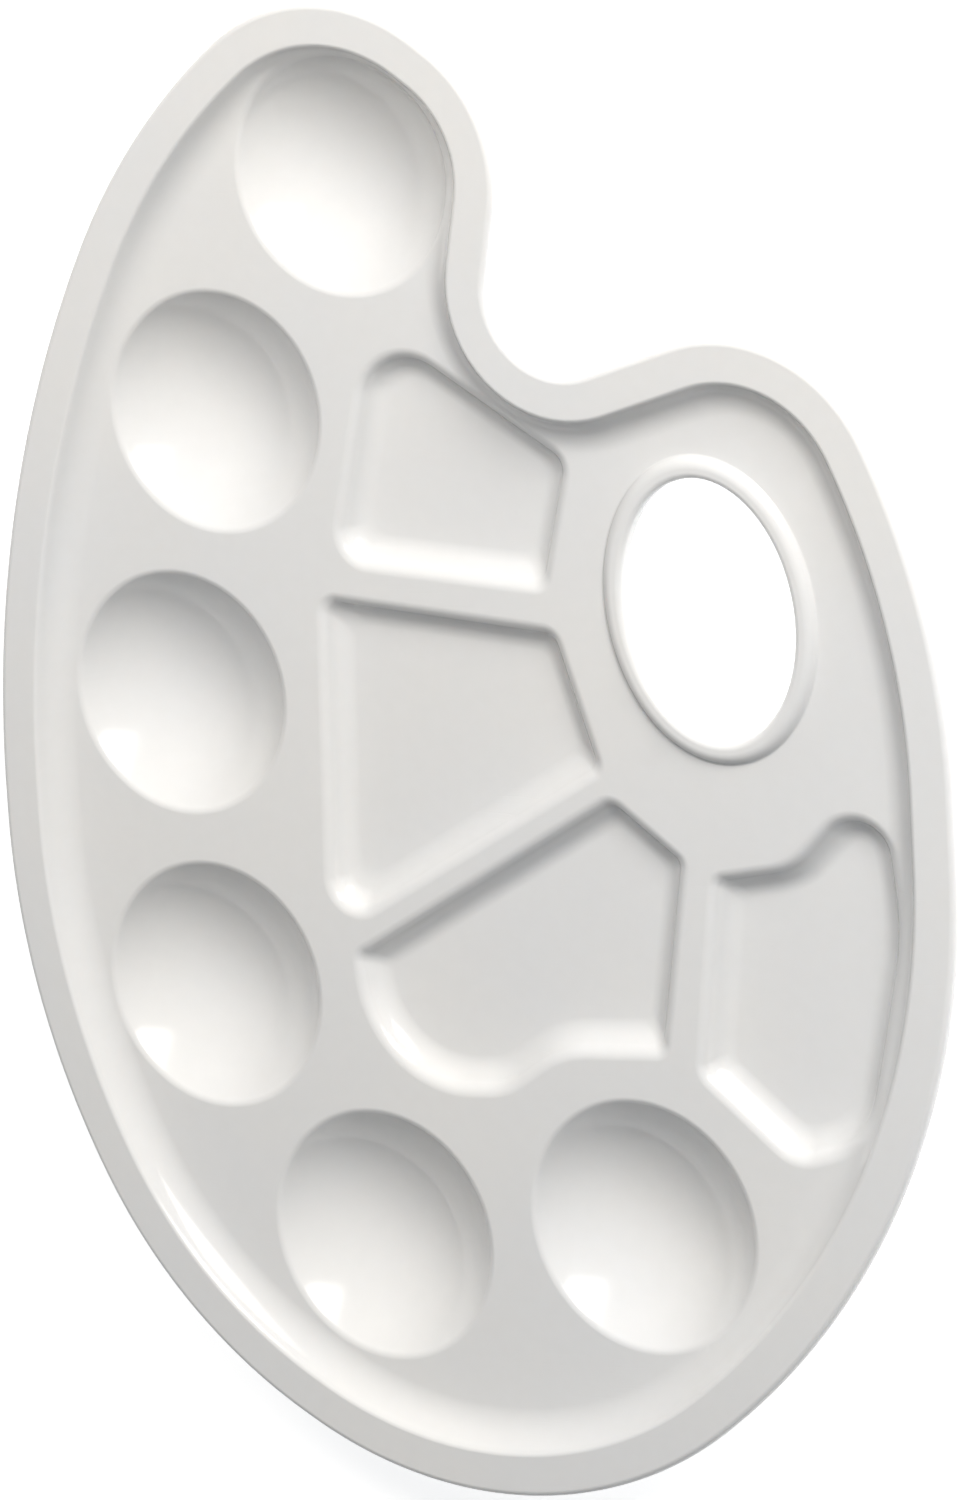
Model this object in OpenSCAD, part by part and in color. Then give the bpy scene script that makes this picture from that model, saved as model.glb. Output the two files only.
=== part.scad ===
// Oval plastic mixing palette: one thin-walled moulding with a raised rim,
// six round bowls, four shallow mixing wells and a thumb hole with a beaded edge.
// It lies flat with its bowls opening upward, its long side along Y, and its
// origin at the middle of its footprint on the surface that it rests on.

/* [Overall] */
// Overall length of the palette, mm; the plan keeps its proportions
palette_length = 230; // [200:5:260]
// Thickness of the moulded wall, mm
wall = 1.8; // [1.2:0.1:2.2]
// How flat the curves are drawn: largest gap between an arc and its chords, mm
curve_tolerance = 0.08; // [0.05:0.01:0.3]

/* [Rim] */
// Height of the rim's flat ledge above the floor, mm
rim_height = 3.8; // [2.5:0.1:6]
// Width of the flat ledge, mm
rim_width = 6.6; // [5:0.1:8]
// Slope of the wall between ledge and floor, degrees from level
rim_slope = 60; // [50:1:80]

/* [Bowls] */
// Radius of a round bowl at floor level, mm
bowl_radius = 18.9; // [17:0.1:19.5]
// Depth of a round bowl below the floor, mm
bowl_depth = 8.5; // [6:0.1:11]
// How much of a bowl's round underside is flattened to stand on, mm
foot_flat = 0.3; // [0.2:0.05:0.6]

/* [Mixing wells] */
// Depth of a mixing well below the floor, mm
mixing_depth = 3.3; // [2:0.1:5.5]
// Slope of a mixing well's side, degrees from level
mixing_slope = 58; // [45:1:75]

/* [Thumb hole] */
// Half width of the opening, mm
thumb_half_width = 14.3; // [12:0.1:15.5]
// Half length of the opening, mm
thumb_half_length = 19.9; // [17:0.1:21]
// Width of the raised bead around the opening, mm
bead_width = 3.5; // [2.5:0.1:4]
// Height of the bead above the floor, mm
bead_height = 1.3; // [0.8:0.1:2]

/* [Hidden] */

// Plan positions below are drawn for a palette of this length, and scaled to the one wanted
drawn_length = 230;
plan_scale = palette_length / drawn_length;

// Heights above the surface that the palette rests on
floor_z = bowl_depth + wall - foot_flat;
rim_z = floor_z + rim_height;
under_floor_z = floor_z - wall;

// A bowl is part of a sphere
sphere_radius = (bowl_radius * bowl_radius + bowl_depth * bowl_depth) / (2 * bowl_depth);
sphere_z = floor_z + sphere_radius - bowl_depth;
sphere_fragments = 96;

// Smallest radius that an inset corner keeps
sharpest = 0.8;

// How far cutting shapes overshoot; the wells widen upward, so they overshoot less
overshoot = 1;
well_overshoot = 0.1;

plastic_white = [0.93, 0.93, 0.91];
ellipse_points = 72;

// Corners [x, y, radius] of the rim's outer edge, going anticlockwise
rim_corners = [
    [-7, 122.5, 30],
    [-44.5, 97, 102],
    [-80, 38.5, 190],
    [-86, -39, 123],
    [-65, -90.5, 80],
    [-4.5, -128.5, 66.5],
    [76, -72, 116],
    [86, 17, 119],
    [69.5, 65, 25],
    [11, 50, 12.5],
    [24.5, 96, 24]
];

// A plan point inside the rim that sees all of its outline past the notch
rim_hub = [-10, 30];

// Centres of the six bowls, down the left side and along the bottom
bowl_centres = [
    [-7.5, 87.5],
    [-36.5, 51.5],
    [-50, 7.5],
    [-51, -38.5],
    [-26.5, -77],
    [19.5, -74.5]
];

// Corners [x, y, radius] of each mixing well at floor level, anticlockwise
upper_well = [
    [25, 41.8, 4],
    [-6.3, 64.5, 9],
    [-18.8, 27.4, 5],
    [18, 22.4, 2.5]
];
middle_well = [
    [18.6, 15.8, 3],
    [-21.8, 21.8, 2.5],
    [-28.7, -30.8, 5],
    [23.2, -5.3, 2]
];
lower_well = [
    [24.1, -9.7, 3],
    [-24.3, -33.8, 2],
    [-24, -54.5, 17],
    [-1.4, -54.5, 12],
    [9.3, -48.3, 16],
    [27.3, -48.3, 2],
    [35.1, -19.3, 2]
];
side_well = [
    [70.3, -12.8, 6],
    [61.5, -12.8, 7],
    [53, -20.2, 11],
    [40, -21.8, 2],
    [33, -51.3, 3],
    [47, -64.6, 6],
    [60, -61.4, 14],
    [70.3, -30.4, 40]
];
mixing_wells = [upper_well, middle_well, lower_well, side_well];

thumb_centre = [45.8, 18.7];

// Middle of the box around an outline
function middle_of_box(points) =
    let (xs = [for (p = points) p.x], ys = [for (p = points) p.y])
    [min(xs) + max(xs), min(ys) + max(ys)] / 2;

// Horizontal distance covered by a slope while it rises by height
function run_of(slope, height) = height / tan(slope);

// Horizontal thickness of a sloping wall
function thickness_of(slope) = wall / sin(slope);

function plan(corners) = [for (c = corners) [c.x * plan_scale, c.y * plan_scale, c.z * plan_scale]];
function flat(p) = [p.x, p.y];
function middle_of(corners) = [for (c = corners) 1] * [for (c = corners) flat(c)] / len(corners);
function unit(v) = v / norm(v);
function left_of(v) = [-v.y, v.x];
function turned(v, angle) = [v.x * cos(angle) - v.y * sin(angle), v.x * sin(angle) + v.y * cos(angle)];

// Largest turn of one chord, in degrees, that keeps to the curve tolerance
function chord_turn(radius) = 2 * acos(1 - curve_tolerance / max(radius, sharpest));

// Points of the arc that rounds corner b between a and c, moved inward by inset
function corner_arc(a, b, c, inset) =
    let (
        arriving = unit(flat(b) - flat(a)),
        leaving = unit(flat(c) - flat(b)),
        turn = atan2(cross(arriving, leaving), arriving * leaving),
        side = sign(turn),
        inward = (left_of(arriving) + left_of(leaving)) / (1 + arriving * leaving),
        radius = max(b.z - side * inset, sharpest),
        start = flat(b) + inward * inset - arriving * radius * tan(abs(turn) / 2),
        spoke = -side * radius * left_of(arriving),
        steps = ceil(abs(turn) / chord_turn(b.z))
    )
    [for (i = [0 : steps]) start - spoke + turned(spoke, turn * i / steps)];

// Closed outline through rounded corners, moved inward by inset
function outline(corners, inset = 0) =
    let (n = len(corners))
    [for (i = [0 : n - 1]) each corner_arc(corners[(i + n - 1) % n], corners[i], corners[(i + 1) % n], inset)];

// Ellipse outline around the thumb hole, grown outward by margin
function thumb_outline(margin) =
    [for (i = [0 : ellipse_points - 1])
        let (angle = 360 * i / ellipse_points)
        thumb_centre * plan_scale
            + [(thumb_half_width + margin) * cos(angle), (thumb_half_length + margin) * sin(angle)]];

// Solid between a lower and an upper outline that have the same number of points;
// hub is a plan point inside that sees the whole outline, where the caps' triangles meet
module loft(hub, lower, lower_z, upper, upper_z) {
    n = len(lower);
    lower_hub = 2 * n;
    upper_hub = 2 * n + 1;
    polyhedron(
        points = [
            for (p = lower) [p.x, p.y, lower_z],
            for (p = upper) [p.x, p.y, upper_z],
            [hub.x, hub.y, lower_z],
            [hub.x, hub.y, upper_z]
        ],
        faces = [
            for (i = [0 : n - 1]) [lower_hub, i, (i + 1) % n],
            for (i = [0 : n - 1]) [upper_hub, n + (i + 1) % n, n + i],
            for (i = [0 : n - 1]) [i, n + i, n + (i + 1) % n, (i + 1) % n]
        ]
    );
}

// Tapered solid whose outline is inset by inset_at_zero at level_zero and follows the slope
module sloped(corners, hub, slope, level_zero, inset_at_zero, from_z, to_z) {
    inset_low = inset_at_zero + run_of(slope, level_zero - from_z);
    inset_high = inset_at_zero + run_of(slope, level_zero - to_z);
    loft(hub * plan_scale, outline(plan(corners), inset_low), from_z, outline(plan(corners), inset_high), to_z);
}

module ledge() {
    translate([0, 0, rim_z - wall])
        linear_extrude(wall)
            polygon(outline(plan(rim_corners)));
}

// Outside of the tub that carries the floor
module tub_outside() {
    sloped(rim_corners, rim_hub, rim_slope, rim_z, rim_width - thickness_of(rim_slope),
        under_floor_z, rim_z - wall / 2);
}

// Room above the floor, inside the rim
module tub_inside() {
    sloped(rim_corners, rim_hub, rim_slope, rim_z, rim_width, floor_z, rim_z + overshoot);
}

// Part of a sphere below the given level, at each bowl
module bowl_spheres(radius, top_z) {
    for (centre = bowl_centres)
        translate([centre.x * plan_scale, centre.y * plan_scale, 0])
            intersection() {
                translate([0, 0, sphere_z])
                    sphere(radius, $fn = sphere_fragments);
                cylinder(h = top_z, r = radius);
            }
}

// Outside or inside of the mixing wells
module mixing_shapes(inset_at_floor, from_z, to_z) {
    for (well = mixing_wells)
        sloped(well, middle_of(well), mixing_slope, floor_z, inset_at_floor, from_z, to_z);
}

module thumb_bead() {
    loft(thumb_centre * plan_scale, thumb_outline(bead_width), under_floor_z,
        thumb_outline(bead_width / 2), floor_z + bead_height);
}

module thumb_opening() {
    translate([0, 0, under_floor_z - overshoot])
        linear_extrude(wall + bead_height + 2 * overshoot)
            polygon(thumb_outline(0));
}

// Rim and floor, before the bowls and wells are formed
module tray() {
    difference() {
        union() {
            ledge();
            tub_outside();
        }
        tub_inside();
    }
}

module palette() {
    middle = middle_of_box(outline(plan(rim_corners)));
    color(plastic_white)
        translate([-middle.x, -middle.y, 0])
            difference() {
                union() {
                    tray();
                    bowl_spheres(sphere_radius + wall, floor_z - wall / 2);
                    mixing_shapes(-thickness_of(mixing_slope), floor_z - mixing_depth - wall, floor_z - wall / 2);
                    thumb_bead();
                }
                bowl_spheres(sphere_radius, floor_z);
                mixing_shapes(0, floor_z - mixing_depth, floor_z + well_overshoot);
                thumb_opening();
            }
}

palette();
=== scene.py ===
import math

import bpy
import numpy as np
from mathutils import Matrix, Vector
from mathutils.geometry import delaunay_2d_cdt
from mathutils.kdtree import KDTree


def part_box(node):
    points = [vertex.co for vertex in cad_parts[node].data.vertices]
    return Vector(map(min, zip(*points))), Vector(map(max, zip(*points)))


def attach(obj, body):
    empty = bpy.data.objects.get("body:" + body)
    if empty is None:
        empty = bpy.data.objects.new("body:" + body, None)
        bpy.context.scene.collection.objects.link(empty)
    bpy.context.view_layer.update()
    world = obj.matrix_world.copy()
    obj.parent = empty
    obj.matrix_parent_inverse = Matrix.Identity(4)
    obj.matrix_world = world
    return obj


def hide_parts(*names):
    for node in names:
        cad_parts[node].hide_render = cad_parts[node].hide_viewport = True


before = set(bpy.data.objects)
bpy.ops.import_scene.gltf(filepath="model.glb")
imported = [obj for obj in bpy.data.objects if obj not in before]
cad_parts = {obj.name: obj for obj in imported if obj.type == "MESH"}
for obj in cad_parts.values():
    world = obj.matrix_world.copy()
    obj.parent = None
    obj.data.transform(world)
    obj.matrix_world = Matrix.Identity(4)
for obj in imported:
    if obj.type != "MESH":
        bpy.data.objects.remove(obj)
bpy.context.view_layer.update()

low_corner, high_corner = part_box("palette")

# ---------------------------------------------------------------------------
# Design sizes, in millimetres. Heights are counted from the floor of the tray. Names that
# end in EDGE, LIP, ROUND, FILLET or FOOT are radii of rounded edges in section.
# ---------------------------------------------------------------------------
WALL = 1.8
UNDER_EDGE = 0.4

# Rim: its flat ledge, and the wall that slopes from it down to the floor
RIM_HEIGHT = 3.8
RIM_WIDTH = 6.6
RIM_SLOPE = 60
RIM_EDGE = 1.1
RIM_LIP = 0.8
RIM_FOOT = 6.0

# Bowls: each is part of a sphere, and stands on the flattened middle of its underside
BOWL_RADIUS = 18.9
BOWL_DEPTH = 8.5
BOWL_LIP = 1.5
BOWL_UNDER_LIP = 0.6
FOOT_FLAT = 0.3
SPHERE_RADIUS = (BOWL_RADIUS**2 + BOWL_DEPTH**2) / (2 * BOWL_DEPTH)
SPHERE_HEIGHT = SPHERE_RADIUS - BOWL_DEPTH

# Mixing wells
WELL_DEPTH = 3.3
WELL_SLOPE = 58
WELL_LIP = 2.3
WELL_FILLET = 4.2

# Thumb hole, and the raised bead around it; its shoulder is the outer slope's width
THUMB_CENTRE = (45.8, 18.7)
THUMB_HALF_WIDTH = 14.3
THUMB_HALF_LENGTH = 19.9
BEAD_WIDTH = 3.5
BEAD_HEIGHT = 1.3
BEAD_INNER_EDGE = 1.1
BEAD_SHOULDER = 0.8
BEAD_ROUND = 2.0
BEAD_FOOT = 0.45

# Smallest radius in plan that an outward corner shrinks to while its outline moves inward
SOFTEST = 2.6

# Height of the floor's underside, and a distance past every slope
UNDER = -WALL
FAR = 40

# Corners (x, y, radius) of the rim's outer edge, going anticlockwise
RIM_CORNERS = [
    (-7, 122.5, 30), (-44.5, 97, 102), (-80, 38.5, 190), (-86, -39, 123),
    (-65, -90.5, 80), (-4.5, -128.5, 66.5), (76, -72, 116), (86, 17, 119),
    (69.5, 65, 25), (11, 50, 12.5), (24.5, 96, 24),
]
BOWL_CENTRES = [
    (-7.5, 87.5), (-36.5, 51.5), (-50, 7.5),
    (-51, -38.5), (-26.5, -77), (19.5, -74.5),
]

# Corners (x, y, radius) of each mixing well where its side meets the floor
WELLS = [
    [(25, 41.8, 4), (-6.3, 64.5, 9), (-18.8, 27.4, 5), (18, 22.4, 2.5)],
    [(18.6, 15.8, 3), (-21.8, 21.8, 2.5), (-28.7, -30.8, 5), (23.2, -5.3, 2)],
    [(24.1, -9.7, 3), (-24.3, -33.8, 2), (-24, -54.5, 17), (-1.4, -54.5, 12),
     (9.3, -48.3, 16), (27.3, -48.3, 2), (35.1, -19.3, 2)],
    [(70.3, -12.8, 6), (61.5, -12.8, 7), (53, -20.2, 11), (40, -21.8, 2),
     (33, -51.3, 3), (47, -64.6, 6), (60, -61.4, 14), (70.3, -30.4, 40)],
]

# How finely the surface is drawn: largest steps along outlines, profiles, bowls and flats
ALONG = 1.4
ARC_STEP = math.radians(10)
PROFILE_TURN = math.radians(12)
PROFILE_STEP = 0.9
BOWL_STEP = 1.3
FLAT_STEP = 5.0

# A profile has this many readings for each ring that is drawn
READINGS = 6

# Fewest steps of an arc in a profile, and fewest sides of a ring around a bowl's axis
FEWEST_STEPS = 2
FEWEST_SIDES = 6

# Smallest gap between two points, and between the flat grid and everything else
CLOSEST = 0.12
FLAT_GAP = FLAT_STEP / 3

# Nearer than this to a boundary is on it; TINY absorbs rounding and avoids division by zero
ON_EDGE = 1e-3
TINY = 1e-5

# A slope is read as no steeper than this, in radians from level
STEEPEST = 1.55


# ---------------------------------------------------------------------------
# Plan outlines: straight runs joined by arcs
# ---------------------------------------------------------------------------
def left_of(v):
    return np.array([-v[1], v[0]])


def rounded_corners(corners, inset=0.0):
    """The arcs of an outline given by corners (x, y, radius), moved inward by inset."""
    points = [np.array(c[:2], float) for c in corners]
    arcs = []
    for i, corner in enumerate(corners):
        before, here, after = points[i - 1], points[i], points[(i + 1) % len(points)]
        arriving = (here - before) / np.linalg.norm(here - before)
        leaving = (after - here) / np.linalg.norm(after - here)
        turn = math.atan2(arriving[0] * leaving[1] - arriving[1] * leaving[0], arriving @ leaving)
        side = math.copysign(1, turn)
        inward = (left_of(arriving) + left_of(leaving)) / (1 + arriving @ leaving)
        softest = min(SOFTEST, corner[2])
        radius = max(corner[2] - side * inset, softest)
        reach = radius * math.tan(abs(turn) / 2)
        start = here + inward * inset - arriving * reach
        arcs.append({
            "corner": here,
            "inward": inward,
            "centre": start + side * radius * left_of(arriving),
            "radius": radius,
            "softest": softest,
            "side": side,
            "turn": abs(turn),
            "from": math.atan2(*(-side * left_of(arriving))[::-1]),
            "start": start,
            "end": here + inward * inset + leaving * reach,
            "leaving": leaving,
        })
    return arcs


def ring(corners, inset=0.0):
    """Points along an outline moved inward by inset; every inset gives the same number of points."""
    drawn = rounded_corners(corners)
    moved = rounded_corners(corners, inset)
    points = []
    for i, (arc, shape) in enumerate(zip(moved, drawn)):
        steps = math.ceil(max(shape["turn"] / ARC_STEP, shape["turn"] * shape["radius"] / ALONG))
        for k in range(steps):
            angle = arc["from"] + arc["side"] * arc["turn"] * k / steps
            points.append(arc["centre"] + arc["radius"] * np.array([math.cos(angle), math.sin(angle)]))
        following = drawn[(i + 1) % len(drawn)]["start"]
        run = max(1, math.ceil(np.linalg.norm(following - shape["end"]) / ALONG))
        target = moved[(i + 1) % len(moved)]["start"]
        points += [arc["end"] + (target - arc["end"]) * k / run for k in range(run)]
    return np.array(points)


def outline_distance(corners, points):
    """How far an outline moves inward to reach each point, and the gradient of that."""
    arcs = rounded_corners(corners)
    plan = np.array([c[:2] for c in corners])
    low, high = plan.min(0), plan.max(0)
    in_box = np.all((points >= low) & (points <= high), axis=1)
    best = np.full(len(points), np.inf)
    grows = np.zeros((len(points), 2))

    def keep_nearest(fits, distance, gradient):
        """Take a distance where it fits and is the nearest; outside the box it is never inward."""
        nearer = fits & (in_box | (distance <= 0)) & (np.abs(distance) < np.abs(best))
        best[nearer] = distance[nearer]
        grows[nearer] = gradient[nearer]

    def start_of_run(arc, distance):
        """How far from the corner the straight run starts, when the outline has moved by distance."""
        past_softest = np.maximum(distance - (arc["radius"] - arc["softest"]), 0) * (arc["side"] > 0)
        return (arc["radius"] + past_softest) * math.tan(arc["turn"] / 2)

    for i, arc in enumerate(arcs):
        side = arc["side"]
        # Round part of the corner, while its radius still shrinks or grows
        away = points - arc["centre"]
        reach = np.maximum(np.linalg.norm(away, axis=1), TINY)
        swept = side * (np.arctan2(away[:, 1], away[:, 0]) - arc["from"])
        swept = (swept + TINY) % (2 * math.pi) - TINY
        distance = side * (arc["radius"] - reach)
        shrinking = (side < 0) | (distance <= arc["radius"] - arc["softest"] + TINY)
        keep_nearest(shrinking & (swept <= arc["turn"] + TINY), distance, -side * away / reach[:, None])

        # Round part of an outward corner, once its radius stays at the softest
        if side > 0:
            half = arc["turn"] / 2
            middle = arc["inward"] / np.linalg.norm(arc["inward"])
            along = (points - arc["corner"]) @ middle
            across = (points - arc["corner"]) @ left_of(middle)
            depth = np.sqrt(np.maximum(arc["softest"]**2 - across**2, TINY))
            distance = (along + depth) * math.cos(half) - arc["softest"]
            towards = depth[:, None] * middle - across[:, None] * left_of(middle)
            moving = (np.abs(across) <= arc["softest"] * math.sin(half) + TINY)
            moving &= distance > arc["radius"] - arc["softest"]
            keep_nearest(moving, distance, towards / depth[:, None] * math.cos(half))

        # Straight run to the next corner
        following = arcs[(i + 1) % len(arcs)]
        length = np.linalg.norm(following["corner"] - arc["corner"])
        normal = left_of(arc["leaving"])
        along = (points - arc["corner"]) @ arc["leaving"]
        distance = (points - arc["corner"]) @ normal
        on_run = along >= start_of_run(arc, distance) - TINY
        on_run &= along <= length - start_of_run(following, distance) + TINY
        keep_nearest(on_run, distance, np.tile(normal, (len(points), 1)))
    return best, grows


def thumb_distance(points):
    """Distance outward from the edge of the thumb hole, and the direction in which it grows."""
    half = np.array([THUMB_HALF_WIDTH, THUMB_HALF_LENGTH])
    away = points - THUMB_CENTRE
    level = np.maximum(np.linalg.norm(away / half, axis=1), TINY)
    slope = away / half**2 / level[:, None]
    steepness = np.maximum(np.linalg.norm(slope, axis=1), TINY)
    return (level - 1) / steepness, slope / steepness[:, None]


def thumb_ring(margin):
    """Points around the thumb hole, moved outward by margin."""
    count = math.ceil(math.pi * (THUMB_HALF_WIDTH + THUMB_HALF_LENGTH) / ALONG)
    angles = np.arange(count) * 2 * math.pi / count
    edge = np.stack([THUMB_HALF_WIDTH * np.cos(angles), THUMB_HALF_LENGTH * np.sin(angles)], axis=1)
    _, outward = thumb_distance(edge + THUMB_CENTRE)
    return THUMB_CENTRE + edge + outward * margin


def bowl_distance(centre, points):
    """Distance from a bowl's axis, and the direction in which it grows."""
    away = points - centre
    reach = np.linalg.norm(away, axis=1)
    return reach, away / np.maximum(reach, TINY)[:, None]


# ---------------------------------------------------------------------------
# Profiles: height and slope against distance
# ---------------------------------------------------------------------------
class Profile:
    """A section line made of straight runs and arcs, read as height and slope against distance."""

    def __init__(self):
        self.distance, self.height, self.angle, self.rings = [], [], [], []

    def add(self, distance, height, angle, is_ring):
        self.distance.append(distance)
        self.height.append(height)
        self.angle.append(angle)
        if is_ring:
            self.rings.append(distance)

    def add_arc(self, centre, radius, start, end):
        """An arc about centre; start and end are directions of travel, in radians from level."""
        turn = abs(end - start)
        drawn = max(turn / PROFILE_TURN, turn * radius / PROFILE_STEP)
        steps = max(FEWEST_STEPS, math.ceil(drawn)) * READINGS
        side = math.copysign(1, end - start)
        for k in range(steps + 1):
            travel = start + (end - start) * k / steps
            self.add(centre[0] + side * radius * math.sin(travel),
                     centre[1] - side * radius * math.cos(travel), travel, k % READINGS == 0)

    def read(self, distance):
        """Height and slope at each distance."""
        height = np.interp(distance, self.distance, self.height)
        angle = np.interp(distance, self.distance, self.angle)
        return height, np.tan(np.clip(angle, -STEEPEST, STEEPEST))


def section(corners):
    """Profile through corners (distance, height, radius); the first and last only give directions."""
    profile = Profile()
    for before, here, after in zip(corners, corners[1:], corners[2:]):
        arriving = math.atan2(here[1] - before[1], here[0] - before[0])
        leaving = math.atan2(after[1] - here[1], after[0] - here[0])
        side = math.copysign(1, leaving - arriving)
        radius = here[2]
        reach = radius * math.tan(abs(leaving - arriving) / 2)
        start = (here[0] - reach * math.cos(arriving), here[1] - reach * math.sin(arriving))
        centre = (start[0] - side * radius * math.sin(arriving),
                  start[1] + side * radius * math.cos(arriving))
        profile.add_arc(centre, radius, arriving, leaving)
    return profile


def run_of(slope, height):
    """Horizontal distance covered by a slope while it rises by height."""
    return height / math.tan(math.radians(slope))


def thickness_of(slope):
    """Horizontal thickness of a sloping wall."""
    return WALL / math.sin(math.radians(slope))


def bowl_section(sphere_radius, centre_height, floor_height, lip_radius, foot_height=None):
    """Profile of a bowl, from its axis out to the floor around it."""
    profile = Profile()
    foot = 0.0
    if foot_height is not None:
        foot = math.acos((centre_height - foot_height) / sphere_radius)
        profile.add(0.0, foot_height, 0.0, True)
    lip_reach = sphere_radius + lip_radius
    lip_angle = math.acos((centre_height - floor_height + lip_radius) / lip_reach)
    steps = math.ceil(sphere_radius * lip_angle / BOWL_STEP) * READINGS
    for k in range(steps + 1):
        angle = foot + (lip_angle - foot) * k / steps
        profile.add(sphere_radius * math.sin(angle), centre_height - sphere_radius * math.cos(angle),
                    angle, k % READINGS == 0)
    lip_centre = (lip_reach * math.sin(lip_angle), floor_height - lip_radius)
    profile.add_arc(lip_centre, lip_radius, lip_angle, 0.0)
    return profile


# ---------------------------------------------------------------------------
# The two faces of the moulding, each a height over the plan
# ---------------------------------------------------------------------------
def upper_face():
    """Profiles of everything on the side that holds the paint."""
    rim = section([(0, 0), (0, RIM_HEIGHT, RIM_EDGE), (RIM_WIDTH, RIM_HEIGHT, RIM_LIP),
                   (RIM_WIDTH + run_of(RIM_SLOPE, RIM_HEIGHT), 0, RIM_FOOT), (FAR, 0)])
    well = section([(-FAR, 0), (0, 0, WELL_LIP),
                    (run_of(WELL_SLOPE, WELL_DEPTH), -WELL_DEPTH, WELL_FILLET), (FAR, -WELL_DEPTH)])
    bead = section([(0, UNDER), (0, BEAD_HEIGHT, BEAD_INNER_EDGE),
                    (BEAD_WIDTH - BEAD_SHOULDER, BEAD_HEIGHT, BEAD_ROUND),
                    (BEAD_WIDTH, 0, BEAD_FOOT), (FAR, 0)])
    bowl = bowl_section(SPHERE_RADIUS, SPHERE_HEIGHT, 0, BOWL_LIP)
    return {"rim": rim, "well": well, "bead": bead, "bowl": bowl, "floor": 0.0, "up": 1}


def lower_face():
    """Profiles of the underside: the upper ones moved by the wall, with the bowls' feet flattened."""
    tub = RIM_WIDTH - thickness_of(RIM_SLOPE)
    under_ledge = RIM_HEIGHT - WALL
    rim = section([(0, RIM_HEIGHT), (0, under_ledge, UNDER_EDGE),
                   (tub + run_of(RIM_SLOPE, WALL), under_ledge, UNDER_EDGE),
                   (tub + run_of(RIM_SLOPE, RIM_HEIGHT + WALL), UNDER, RIM_FOOT), (FAR, UNDER)])
    edge = run_of(WELL_SLOPE, WALL) - thickness_of(WELL_SLOPE)
    well = section([(-FAR, UNDER), (edge, UNDER, WELL_LIP - WALL),
                    (edge + run_of(WELL_SLOPE, WELL_DEPTH), UNDER - WELL_DEPTH, WELL_FILLET + WALL),
                    (FAR, UNDER - WELL_DEPTH)])
    bead = section([(0, 0), (0, UNDER, UNDER_EDGE), (FAR, UNDER)])
    foot_height = FOOT_FLAT - BOWL_DEPTH - WALL
    bowl = bowl_section(SPHERE_RADIUS + WALL, SPHERE_HEIGHT, UNDER, BOWL_UNDER_LIP, foot_height)
    return {"rim": rim, "well": well, "bead": bead, "bowl": bowl, "floor": UNDER, "up": -1}


def measure(points, face):
    """Height and unit normal of a face at plan points, all features added to its flat floor."""
    height = np.full(len(points), face["floor"])
    gradient = np.zeros((len(points), 2))
    fields = [("rim", *outline_distance(RIM_CORNERS, points)), ("bead", *thumb_distance(points))]
    fields += [("well", *outline_distance(corners, points)) for corners in WELLS]
    fields += [("bowl", *bowl_distance(centre, points)) for centre in BOWL_CENTRES]
    for name, distance, grows in fields:
        level, slope = face[name].read(distance)
        height += level - face["floor"]
        gradient += slope[:, None] * grows
    normal = np.column_stack([-gradient, np.ones(len(points))]) * face["up"]
    return height, normal / np.linalg.norm(normal, axis=1)[:, None]


def bowl_ring(centre, radius):
    """Points around a bowl's axis."""
    count = max(FEWEST_SIDES, math.ceil(2 * math.pi * radius / BOWL_STEP))
    angles = np.arange(count) * 2 * math.pi / count
    return np.array(centre) + radius * np.stack([np.cos(angles), np.sin(angles)], axis=1)


def flat_grid(points):
    """A coarse grid over the flat areas, clear of the points that are already there."""
    low, high = points.min(0), points.max(0)
    xs, ys = np.meshgrid(np.arange(low[0], high[0], FLAT_STEP), np.arange(low[1], high[1], FLAT_STEP))
    grid = np.stack([xs.ravel(), ys.ravel()], axis=1)
    clear = [np.min(np.sum((points - p)**2, axis=1)) > FLAT_GAP**2 for p in grid]
    return grid[np.array(clear)]


def well_spaced(points, always):
    """Which points to keep so that none lies too close to an earlier one; the first ones always stay."""
    tree = KDTree(len(points))
    for i, point in enumerate(points):
        tree.insert((*point, 0), i)
    tree.balance()
    kept = np.ones(len(points), bool)
    for i, point in enumerate(points):
        if kept[i]:
            for _, k, _ in tree.find_range((*point, 0), CLOSEST):
                kept[k] &= k <= i or k < always
    return kept


def feature_rings(face):
    """The rings along each feature, without the two boundary rings."""
    rings = [ring(RIM_CORNERS, inset) for inset in face["rim"].rings if inset > ON_EDGE]
    rings += [thumb_ring(margin) for margin in face["bead"].rings if margin > ON_EDGE]
    for corners in WELLS:
        rings += [ring(corners, inset) for inset in face["well"].rings]
    for centre in BOWL_CENTRES:
        rings += [bowl_ring(centre, radius) for radius in face["bowl"].rings if radius > ON_EDGE]
    return rings


def plan_points(face):
    """Every plan point of a face, boundary rings first, and the sides that the triangles must follow."""
    loops = [ring(RIM_CORNERS), thumb_ring(0)] + feature_rings(face)
    bounds = len(loops[0]) + len(loops[1])
    points = np.concatenate(loops + [np.array(BOWL_CENTRES, float)])
    points = np.concatenate([points, flat_grid(points)])
    kept = (outline_distance(RIM_CORNERS, points)[0] > ON_EDGE) & (thumb_distance(points)[0] > ON_EDGE)
    kept[:bounds] = True
    kept &= well_spaced(points, bounds)
    place = np.cumsum(kept) - 1
    sides = []
    first = 0
    for loop in loops:
        around = np.arange(first, first + len(loop))
        following = np.roll(around, -1)
        both = kept[around] & kept[following]
        sides.append(np.stack([place[around[both]], place[following[both]]], axis=1))
        first += len(loop)
    return points[kept], np.concatenate(sides), len(loops[0]), bounds


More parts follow.
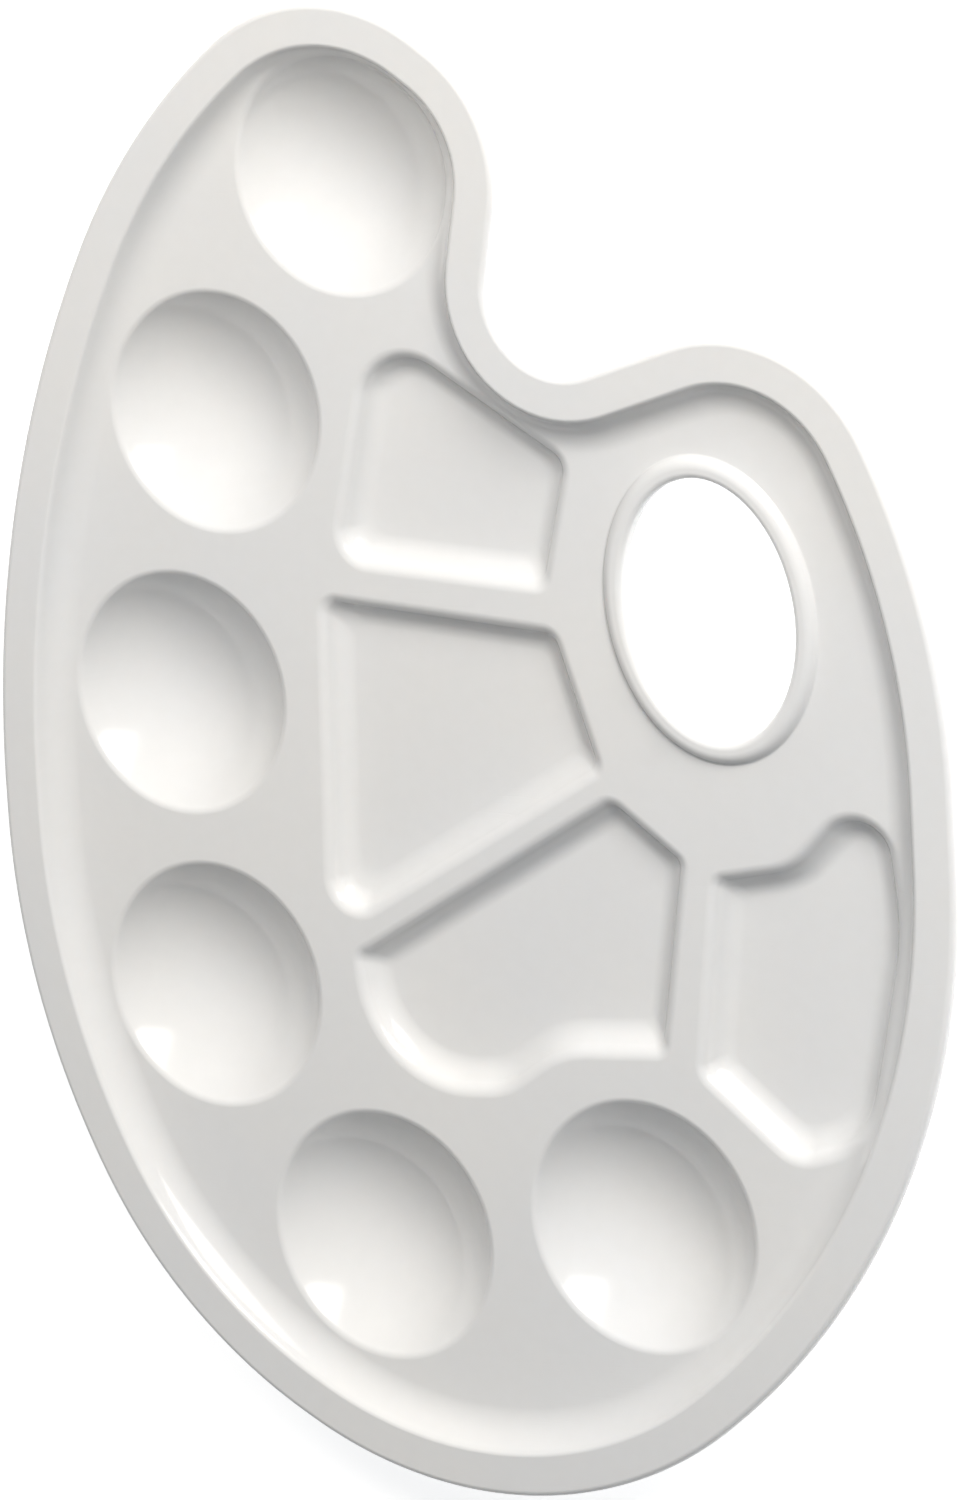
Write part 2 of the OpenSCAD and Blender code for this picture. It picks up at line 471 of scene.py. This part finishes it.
def triangulated(face):
    """Corners, normals, triangles and the two boundary loops of a face, in drawing millimetres."""
    points, sides, edge_count, bounds = plan_points(face)
    loops = [list(range(edge_count)), list(range(edge_count, bounds))]
    flat, _, triangles, came_from, _, _ = delaunay_2d_cdt(
        [Vector(p) for p in points], [tuple(s) for s in sides.tolist()], [], 0, TINY)
    place = {old: new for new, olds in enumerate(came_from) for old in olds}
    loops = [[place[i] for i in loop] for loop in loops]
    plan = np.array([tuple(v) for v in flat])
    on_loop = np.zeros(len(plan), int)
    for number, loop in enumerate(loops):
        on_loop[loop] = number + 1
    marks = on_loop[np.array(triangles)]
    gap = (marks[:, 0] > 0) & (marks[:, 0] == marks[:, 1]) & (marks[:, 0] == marks[:, 2])
    height, normal = measure(plan, face)
    for loop, profile in zip(loops, (face["rim"], face["bead"])):
        height[loop] = profile.height[0]
    return np.column_stack([plan, height]), normal, np.array(triangles)[~gap], loops


def moulding():
    """The closed shell: upper face, lower face, and the upright edges that join them."""
    tops, top_normals, top_triangles, top_loops = triangulated(upper_face())
    unders, under_normals, under_triangles, under_loops = triangulated(lower_face())
    corners = np.concatenate([tops, unders])
    normals = np.concatenate([top_normals, under_normals])
    shift = len(tops)
    faces = [tuple(t) for t in top_triangles] + [tuple(t[::-1] + shift) for t in under_triangles]
    for top, under, outer in zip(top_loops, under_loops, (True, False)):
        for i in range(len(top)):
            k = (i + 1) % len(top)
            side = (under[i] + shift, under[k] + shift, top[k], top[i])
            faces.append(side if outer else side[::-1])
    return corners, normals, faces


# ---------------------------------------------------------------------------
# From drawing millimetres to the frame's metres
# ---------------------------------------------------------------------------
outline = ring(RIM_CORNERS)
drawn_low, drawn_high = outline.min(0), outline.max(0)
plan_middle = (drawn_low + drawn_high) / 2
mm = (high_corner.y - low_corner.y) / (drawn_high[1] - drawn_low[1])
floor_height = high_corner.z - RIM_HEIGHT * mm


def placed(corners):
    """Drawing corners where they belong on the CAD part."""
    return np.column_stack([
        (corners[:, 0] - plan_middle[0]) * mm + (low_corner.x + high_corner.x) / 2,
        (corners[:, 1] - plan_middle[1]) * mm + (low_corner.y + high_corner.y) / 2,
        corners[:, 2] * mm + floor_height,
    ])


def palette_piece(material):
    """The whole palette as one smooth-shaded object in the frame."""
    corners, normals, faces = moulding()
    mesh = bpy.data.meshes.new("palette_moulding")
    mesh.from_pydata(placed(corners).tolist(), [], [[int(i) for i in f] for f in faces])
    mesh.validate()
    for polygon in mesh.polygons:
        polygon.use_smooth = True
    mesh.normals_split_custom_set_from_vertices(normals.tolist())
    mesh.materials.append(material)
    piece = bpy.data.objects.new("palette_moulding", mesh)
    bpy.context.scene.collection.objects.link(piece)
    return piece


# ---------------------------------------------------------------------------
# Material. Colours are linear, depths are in metres, and a scale is how many
# cells of a pattern fit in a metre. A band is the part of a noise that counts.
# ---------------------------------------------------------------------------
WHITE_WARM = (0.853, 0.85, 0.838, 1)
WHITE_COOL = (0.832, 0.838, 0.842, 1)
CLOUD_SCALE = 22
CLOUD_BAND = (0.35, 0.65)

WHITE_DULL = (0.76, 0.76, 0.75, 1)
MOTTLE = 0.12
MOTTLE_SCALE = 420
MOTTLE_BAND = (0.3, 0.7)

# Specks are sized in cells of their pattern
SPECK_COLOUR = (0.42, 0.4, 0.37, 1)
SPECK_SCALE = 170
SPECK_SIZE = 0.045
SPECK_SHARE = 0.05

# Roughness of clean and of handled plastic
GLOSS_CLEAN = 0.08
GLOSS_HANDLED = 0.15
HANDLED_SCALE = 30
HANDLED_BAND = (0.35, 0.7)
REFRACTION = 1.5

# Two sets of scratches (direction in radians, scale, share of the noise that is line)
SCRATCH_SETS = [(0.5, 60, 0.34), (-0.9, 75, 0.33)]
SCRATCH_STRETCH = 45
SCRATCH_DULLING = 0.12
SCRATCH_DEPTH = 0.000006
PATCH_SCALE = 35
PATCH_BAND = (0.5, 0.62)

WAVE_SCALE = 55
WAVE_DEPTH = 0.00006
PEEL_SCALE = 700
PEEL_DEPTH = 0.000004

# Light that travels inside the plastic: its share, each colour's relative reach, and the depth
INSIDE_SHARE = 0.08
INSIDE_REACH = (1.0, 0.9, 0.8)
INSIDE_DEPTH = 0.0012


class Shading:
    """A material's node tree, with short ways to add and join its nodes."""

    def __init__(self, name):
        self.material = bpy.data.materials.new(name)
        self.material.use_nodes = True
        self.nodes = self.material.node_tree.nodes
        self.links = self.material.node_tree.links
        self.shader = self.nodes["Principled BSDF"]

    def add(self, kind, **inputs):
        """A node of the given kind; each input is a value or another node's output."""
        node = self.nodes.new(kind)
        for name, value in inputs.items():
            self.feed(node.inputs[name.replace("_", " ")], value)
        return node

    def feed(self, socket, value):
        """Give a socket a value, or join it to another node's output."""
        if isinstance(value, bpy.types.NodeSocket):
            self.links.new(value, socket)
        else:
            socket.default_value = value

    def noise(self, place, scale, detail=2.0):
        """A cloudy pattern with values around one half."""
        return self.add("ShaderNodeTexNoise", Vector=place, Scale=scale, Detail=detail).outputs["Fac"]

    def spread(self, value, start, end, low, high):
        """Turn the range start to end of a value into low to high, without going past them."""
        return self.add("ShaderNodeMapRange", Value=value, From_Min=start, From_Max=end,
                        To_Min=low, To_Max=high).outputs["Result"]

    def maths(self, operation, first, second):
        """The result of an operation on two values."""
        node = self.nodes.new("ShaderNodeMath")
        node.operation = operation
        self.feed(node.inputs[0], first)
        self.feed(node.inputs[1], second)
        return node.outputs["Value"]

    def blend(self, factor, first, second):
        """The first colour where factor is 0, and the second where it is 1."""
        node = self.nodes.new("ShaderNodeMix")
        node.data_type = "RGBA"
        self.feed(node.inputs["Factor"], factor)
        self.feed(node.inputs["A"], first)
        self.feed(node.inputs["B"], second)
        return node.outputs["Result"]


def fine_scratches(shading, place, turn, scale, share):
    """Mask of thin, broken lines in one direction; share is how much of the noise counts as line."""
    stretch = (1, SCRATCH_STRETCH, 1)
    lie = shading.add("ShaderNodeMapping", Vector=place, Rotation=(0, 0, turn), Scale=stretch)
    lines = shading.noise(lie.outputs["Vector"], scale, detail=1.0)
    patches = shading.spread(shading.noise(place, PATCH_SCALE), *PATCH_BAND, 0, 1)
    return shading.maths("MULTIPLY", shading.spread(lines, 1 - share, 1 - share / 2, 0, 1), patches)


def moulded_plastic():
    """Glossy white plastic: slow colour drift, rare specks, handling scratches and a moulded skin."""
    shading = Shading("moulded_plastic")
    place = shading.add("ShaderNodeTexCoord").outputs["Object"]

    # Colour: clouds a few centimetres wide, a faint mottle and dust caught in the plastic
    clouds = shading.spread(shading.noise(place, CLOUD_SCALE), *CLOUD_BAND, 0, 1)
    colour = shading.blend(clouds, WHITE_WARM, WHITE_COOL)
    mottle = shading.spread(shading.noise(place, MOTTLE_SCALE, detail=3.0), *MOTTLE_BAND, 0, MOTTLE)
    colour = shading.blend(mottle, colour, WHITE_DULL)
    cells = shading.add("ShaderNodeTexVoronoi", Vector=place, Scale=SPECK_SCALE)
    dots = shading.spread(cells.outputs["Distance"], SPECK_SIZE / 2, SPECK_SIZE, 1, 0)
    chosen = shading.maths("GREATER_THAN", cells.outputs["Color"], 1 - SPECK_SHARE)
    colour = shading.blend(shading.maths("MULTIPLY", dots, chosen), colour, SPECK_COLOUR)
    shading.feed(shading.shader.inputs["Base Color"], colour)

    # Gloss: duller where it was handled and along the scratches
    masks = [fine_scratches(shading, place, *scratch_set) for scratch_set in SCRATCH_SETS]
    scratches = shading.maths("MAXIMUM", *masks)
    handling = shading.noise(place, HANDLED_SCALE, detail=4.0)
    handled = shading.spread(handling, *HANDLED_BAND, GLOSS_CLEAN, GLOSS_HANDLED)
    gloss = shading.maths("ADD", handled, shading.maths("MULTIPLY", scratches, SCRATCH_DULLING))
    shading.feed(shading.shader.inputs["Roughness"], gloss)
    shading.feed(shading.shader.inputs["IOR"], REFRACTION)

    # Relief: the skin's slight orange peel, slow waves of shrinkage, and the scratches
    waves = shading.add("ShaderNodeBump", Height=shading.noise(place, WAVE_SCALE, detail=1.0),
                        Strength=1.0, Distance=WAVE_DEPTH)
    peel = shading.add("ShaderNodeBump", Height=shading.noise(place, PEEL_SCALE), Strength=1.0,
                       Distance=PEEL_DEPTH, Normal=waves.outputs["Normal"])
    cuts = shading.add("ShaderNodeBump", Height=scratches, Strength=1.0, Distance=-SCRATCH_DEPTH,
                       Normal=peel.outputs["Normal"])
    shading.feed(shading.shader.inputs["Normal"], cuts.outputs["Normal"])

    # Light travels a little way into the plastic
    shading.feed(shading.shader.inputs["Subsurface Weight"], INSIDE_SHARE)
    shading.feed(shading.shader.inputs["Subsurface Radius"], INSIDE_REACH)
    shading.feed(shading.shader.inputs["Subsurface Scale"], INSIDE_DEPTH)
    return shading.material


palette = palette_piece(moulded_plastic())
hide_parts("palette")
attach(palette, "root")


# ---------------------------------------------------------------------------
# Stage and light. Corners of lights are in drawing millimetres, counted from above the
# palette's middle at the height of its floor; the sheet's half width is in metres.
# ---------------------------------------------------------------------------
FLOOR_COLOUR = (0.86, 0.86, 0.86)
FLOOR_GLOW = 0.64
FLOOR_ROUGHNESS = 0.6
FLOOR_HALF_WIDTH = 3.0

SOFTBOX_LOW = (215, 770, 240)
SOFTBOX_TOP = (955, 290, 810)
SOFTBOX_POWER = 19.6
SOFTBOX_FADE = 0.3
SOFTBOX_COLOUR = (1.0, 0.97, 0.93)

FILL_LOW = (-260, 345, 260)
FILL_TOP = (-40, 255, 370)
FILL_POWER = 1.05
FILL_COLOUR = (1.0, 0.93, 0.84)

# The surroundings are brightest towards this direction and fade to the far side
SKY_TOWARDS = (0.3, 0.66, 0.66)
SKY_FADED_BY = -0.7
SKY_DARKEST = 0.02
SKY_BRIGHTEST = 0.36
SKY_COLOUR = (0.94, 0.985, 1.04, 1)


def plain_floor():
    """A pale level sheet under the palette."""
    half = FLOOR_HALF_WIDTH
    corners = [(-half, -half, 0), (half, -half, 0), (half, half, 0), (-half, half, 0)]
    sheet = bpy.data.meshes.new("floor")
    sheet.from_pydata(corners, [], [(0, 1, 2, 3)])
    floor = bpy.data.objects.new("floor", sheet)
    bpy.context.scene.collection.objects.link(floor)
    material = bpy.data.materials.new("floor")
    material.use_nodes = True
    shader = material.node_tree.nodes["Principled BSDF"]
    shader.inputs["Base Color"].default_value = (*FLOOR_COLOUR, 1)
    shader.inputs["Roughness"].default_value = FLOOR_ROUGHNESS
    shader.inputs["Emission Color"].default_value = (1, 1, 1, 1)
    shader.inputs["Emission Strength"].default_value = FLOOR_GLOW
    sheet.materials.append(material)


def soft_edge(light):
    """Let a rectangular light fade towards its edges, as a diffusing cloth does."""
    light.use_nodes = True
    nodes, links = light.node_tree.nodes, light.node_tree.links
    across = nodes.new("ShaderNodeSeparateXYZ")
    links.new(nodes.new("ShaderNodeNewGeometry").outputs["Parametric"], across.inputs["Vector"])
    both = nodes.new("ShaderNodeMath")
    both.operation = "MULTIPLY"
    for axis, factor in zip("XY", both.inputs):
        # The place along this side runs from 0 to 1; folded, it is the distance to the nearer edge
        from_edge = nodes.new("ShaderNodeMath")
        from_edge.operation = "PINGPONG"
        from_edge.inputs[1].default_value = 0.5
        links.new(across.outputs[axis], from_edge.inputs[0])
        fade = nodes.new("ShaderNodeMapRange")
        fade.interpolation_type = "SMOOTHSTEP"
        fade.inputs["From Max"].default_value = SOFTBOX_FADE
        fade.inputs["To Max"].default_value = 1.0
        links.new(from_edge.outputs["Value"], fade.inputs["Value"])
        links.new(fade.outputs["Result"], factor)
    links.new(both.outputs["Value"], nodes["Emission"].inputs["Strength"])


def softbox(name, low, top, power, colour, reflected=True):
    """A rectangular light from a low corner to a top corner, with its level edges along X."""
    low, top = Vector(low) * mm, Vector(top) * mm
    across = Vector((1, 0, 0))
    downward = Vector((0, low.y - top.y, low.z - top.z))
    light = bpy.data.lights.new(name, "AREA")
    light.shape = "RECTANGLE"
    light.size = top.x - low.x
    light.size_y = downward.length
    light.energy = power
    light.color = colour
    soft_edge(light)
    downward.normalize()
    turn = Matrix((across, downward, across.cross(downward))).transposed()
    middle = (low + top) / 2 + Vector((0, 0, floor_height))
    lamp = bpy.data.objects.new(name, light)
    lamp.matrix_world = Matrix.Translation(middle) @ turn.to_4x4()
    lamp.visible_glossy = reflected
    bpy.context.scene.collection.objects.link(lamp)


def studio_surroundings():
    """Light from all round, brighter towards the key light's side and darker on the other."""
    world = bpy.data.worlds.new("studio")
    bpy.context.scene.world = world
    world.use_nodes = True
    nodes, links = world.node_tree.nodes, world.node_tree.links
    direction = nodes.new("ShaderNodeTexCoord")
    towards = nodes.new("ShaderNodeVectorMath")
    towards.operation = "DOT_PRODUCT"
    towards.inputs[1].default_value = Vector(SKY_TOWARDS).normalized()
    links.new(direction.outputs["Generated"], towards.inputs[0])
    ramp = nodes.new("ShaderNodeMapRange")
    ramp.inputs["From Min"].default_value = SKY_FADED_BY
    ramp.inputs["From Max"].default_value = 1.0
    ramp.inputs["To Min"].default_value = SKY_DARKEST
    ramp.inputs["To Max"].default_value = SKY_BRIGHTEST
    links.new(towards.outputs["Value"], ramp.inputs["Value"])
    surroundings = nodes["Background"]
    surroundings.inputs["Color"].default_value = SKY_COLOUR
    links.new(ramp.outputs["Result"], surroundings.inputs["Strength"])

    # The camera itself sees a plain pale backdrop beyond the floor
    backdrop = nodes.new("ShaderNodeBackground")
    backdrop.inputs["Color"].default_value = (*FLOOR_COLOUR, 1)
    either = nodes.new("ShaderNodeMixShader")
    links.new(nodes.new("ShaderNodeLightPath").outputs["Is Camera Ray"], either.inputs["Fac"])
    links.new(surroundings.outputs["Background"], either.inputs[1])
    links.new(backdrop.outputs["Background"], either.inputs[2])
    links.new(either.outputs["Shader"], nodes["World Output"].inputs["Surface"])


plain_floor()
studio_surroundings()
softbox("key", SOFTBOX_LOW, SOFTBOX_TOP, SOFTBOX_POWER, SOFTBOX_COLOUR)
softbox("fill", FILL_LOW, FILL_TOP, FILL_POWER, FILL_COLOUR, reflected=False)
bpy.context.scene.view_settings.view_transform = "Standard"

# ---------------------------------------------------------------------------
# Camera, at the photo's viewing angle. Its place is in drawing coordinates, its angles are
# in degrees, and its focal length and lens shift are in heights of the picture.
# ---------------------------------------------------------------------------
CAMERA_PLACE = (461.3, 227.1, 803.4)
VIEW_TILT = 27.88
TILT_DIRECTION = 1.612
VIEW_TURN = -9
FOCAL_LENGTH = 3.914667
LENS_SHIFT = {"shift_x": 0.034933, "shift_y": -1.232467}
SENSOR_HEIGHT = 36
FARTHEST_SEEN = 10

# Within this many metres of the photo's place along X, the camera counts as standing there
SAME_PLACE = 0.001


def shift_from_here_only(rig):
    """Shift the lens only at the photo's place; moved elsewhere, the camera looks straight ahead."""
    for name, amount in LENS_SHIFT.items():
        driver = rig.data.driver_add(name).driver
        place = driver.variables.new()
        place.name = "x"
        place.targets[0].id = rig
        place.targets[0].data_path = "location.x"
        driver.expression = f"{amount:.6f} if abs(x - {rig.location.x:.6f}) < {SAME_PLACE} else 0"


def photo_camera():
    """The scene's camera: tilted away from straight down, then turned about the vertical."""
    camera = bpy.data.cameras.new("camera")
    camera.sensor_fit = "VERTICAL"
    camera.sensor_height = SENSOR_HEIGHT
    camera.lens = FOCAL_LENGTH * SENSOR_HEIGHT
    camera.clip_end = FARTHEST_SEEN
    rig = bpy.data.objects.new("camera", camera)
    lean = math.radians(TILT_DIRECTION)
    tilt_axis = Vector((-math.sin(lean), math.cos(lean), 0))
    tilt = Matrix.Rotation(math.radians(VIEW_TILT), 3, tilt_axis)
    turn = Matrix.Rotation(math.radians(VIEW_TURN), 3, "Z") @ tilt
    place = (Vector(CAMERA_PLACE) - Vector((*plan_middle, 0))) * mm + Vector((0, 0, floor_height))
    rig.matrix_world = Matrix.Translation(place) @ turn.to_4x4()
    bpy.context.scene.collection.objects.link(rig)
    bpy.context.scene.camera = rig
    shift_from_here_only(rig)


photo_camera()
